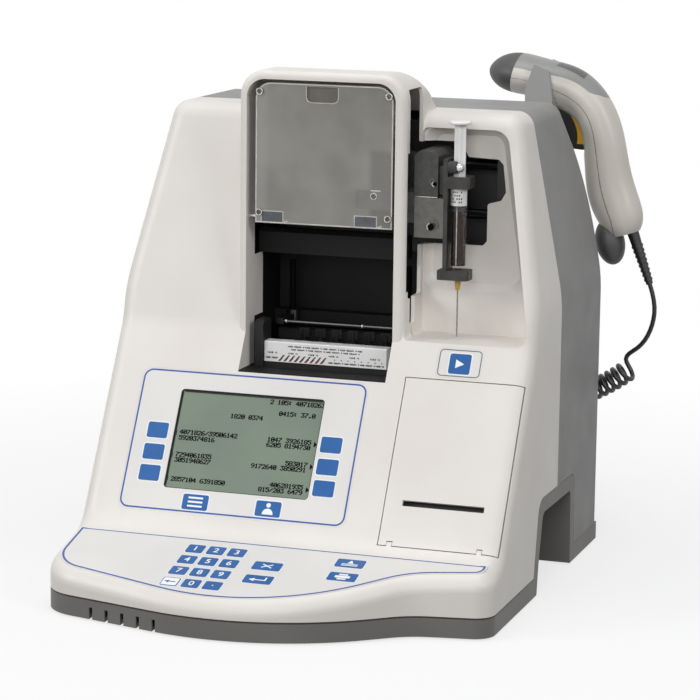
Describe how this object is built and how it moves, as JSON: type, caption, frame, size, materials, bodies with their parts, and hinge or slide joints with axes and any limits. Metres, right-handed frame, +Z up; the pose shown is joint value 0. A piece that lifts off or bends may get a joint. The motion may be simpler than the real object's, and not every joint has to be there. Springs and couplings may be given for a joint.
{
  "type": "hemostasis analyzer",
  "caption": "Bench-top blood clotting analyzer with a heated cartridge bay, syringe dispenser, sloping display and keypad, strip printer and a corded bar-code scanner.",
  "frame": {"origin": "on the table, under the middle of the base", "axes": "+X to the right, +Y to the rear, +Z up; the display faces -Y"},
  "size_m": [0.3953, 0.4654, 0.4164],
  "materials": {
    "white_plastic": "fine spark-eroded texture",
    "grey_plastic": "fine spark-eroded texture",
    "overlay_film": "satin film",
    "blue_keys": "satin film",
    "display_glass": "anti-glare",
    "board": "solder mask",
    "steel": "plain",
    "black_plastic": "matt",
    "connector_metal": "nickel",
    "sheet_metal": "zinc plated",
    "black_metal": "black anodised",
    "chrome": "polished",
    "clear_plastic": "clear",
    "dark_red": "liquid",
    "white_polymer": "satin",
    "grey_polymer": "satin",
    "yellow_plastic": "satin",
    "smoked_clear": "frosted",
    "paper": "thermal paper",
    "scanner_plastic": "satin",
    "dark_rubber": "satin",
    "scanner_glass": "red tinted",
    "black_rubber": "satin"
  },
  "bodies": {
    "housing": {"base_tray": "grey_plastic", "front_cover": "white_plastic", "tower_cover": "white_plastic", "bay_cover": "white_plastic", "rear_cover": "grey_plastic", "rubber_feet": "black_rubber", "base_screws": "steel", "display_overlay": "overlay_film", "keypad_overlay": "overlay_film", "start_overlay": "overlay_film", "membrane_keys": "blue_keys", "lcd_module": "display_glass", "main_board": "board", "power_supply": "steel", "power_inlet": "black_plastic", "switch_frame": "black_plastic", "ports": "connector_metal", "fan_frame": "black_plastic", "chassis": "sheet_metal", "rail_brackets": "black_metal", "guide_rails": "steel", "tower_liner": "black_plastic", "heat_block": "black_metal", "lift_posts": "steel", "shield_hinge_rod": "steel", "door_hinge_pins": "steel", "printer_frame": "sheet_metal", "scanner_holder": "grey_plastic", "cord_lead": "black_rubber", "cord_coil": "black_rubber", "cord_tail": "black_rubber", "cord_plug": "black_plastic"},
    "switch": {"power_switch": "black_plastic"},
    "fan": {"fan_rotor": "black_plastic"},
    "carriage": {"carriage": "black_metal", "carriage_screws": "steel"},
    "arm": {"syringe_arm": "black_metal", "thumb_screw": "black_metal", "clamp_ball": "chrome", "syringe_barrel": "clear_plastic", "blood_sample": "dark_red", "needle_hub": "yellow_plastic", "needle": "steel"},
    "plunger": {"plunger": "white_polymer", "plunger_seal": "black_rubber"},
    "cartridge": {"cartridge": "white_polymer", "cartridge_plungers": "grey_polymer"},
    "lift": {"lift_bar": "steel"},
    "shield": {"shield_door": "smoked_clear", "shield_screws": "steel"},
    "printer_door": {"printer_door": "white_plastic"},
    "platen": {"platen_roller": "black_rubber"},
    "paper": {"paper_roll": "paper"},
    "scanner": {"scanner_body": "scanner_plastic", "scanner_nose": "dark_rubber", "scanner_window": "scanner_glass", "trigger_pin": "steel", "scanner_bumper": "dark_rubber", "strain_relief": "black_rubber"},
    "trigger": {"scanner_trigger": "yellow_plastic"}
  },
  "joints": [
    {"name": "shield_hinge", "type": "hinge", "parent": "housing", "child": "shield", "pos_m": [0, -0.018, 0.2975], "axis": [1, 0, 0], "range_deg": [0, 92]},
    {"name": "printer_door_hinge", "type": "hinge", "parent": "housing", "child": "printer_door", "pos_m": [0.125, -0.10561, 0.06051], "axis": [1, 0, 0], "range_deg": [0, 60]},
    {"name": "carriage_slide", "type": "slide", "parent": "housing", "child": "carriage", "axis": [1, 0, 0], "range_m": [-0.1335, 0]},
    {"name": "arm_lift", "type": "slide", "parent": "carriage", "child": "arm", "axis": [0, 0, 1], "range_m": [0, 0.012]},
    {"name": "plunger_slide", "type": "slide", "parent": "arm", "child": "plunger", "axis": [0, 0, 1], "range_m": [-0.026, 0], "deforming": ["blood_sample"]},
    {"name": "lift_bar_slide", "type": "slide", "parent": "housing", "child": "lift", "axis": [0, 0, 1], "range_m": [0, 0.035]},
    {"name": "cartridge_slide", "type": "slide", "parent": "housing", "child": "cartridge", "axis": [0, -1, 0], "range_m": [0, 0.045]},
    {"name": "platen_spin", "type": "hinge", "parent": "housing", "child": "platen", "pos_m": [0.124, -0.0784, 0.08357], "axis": [1, 0, 0], "continuous": true},
    {"name": "paper_spin", "type": "hinge", "parent": "housing", "child": "paper", "pos_m": [0.122, -0.03966, 0.11805], "axis": [1, 0, 0], "continuous": true},
    {"name": "fan_spin", "type": "hinge", "parent": "housing", "child": "fan", "pos_m": [-0.105, 0.195, 0.19], "axis": [0, 1, 0], "continuous": true},
    {"name": "power_rocker", "type": "hinge", "parent": "housing", "child": "switch", "pos_m": [-0.085, 0.202, 0.052], "axis": [1, 0, 0], "range_deg": [0, 14]},
    {"name": "scanner_lift_off", "type": "slide", "parent": "housing", "child": "scanner", "axis": [0, 0, 1], "range_m": [0, 0.03]},
    {"name": "scanner_trigger_pull", "type": "hinge", "parent": "scanner", "child": "trigger", "pos_m": [0.154, 0.223, 0.367], "axis": [0, 1, 0], "range_deg": [-6, 0], "stiffness_Nm_per_rad": 0.3}
  ]
}
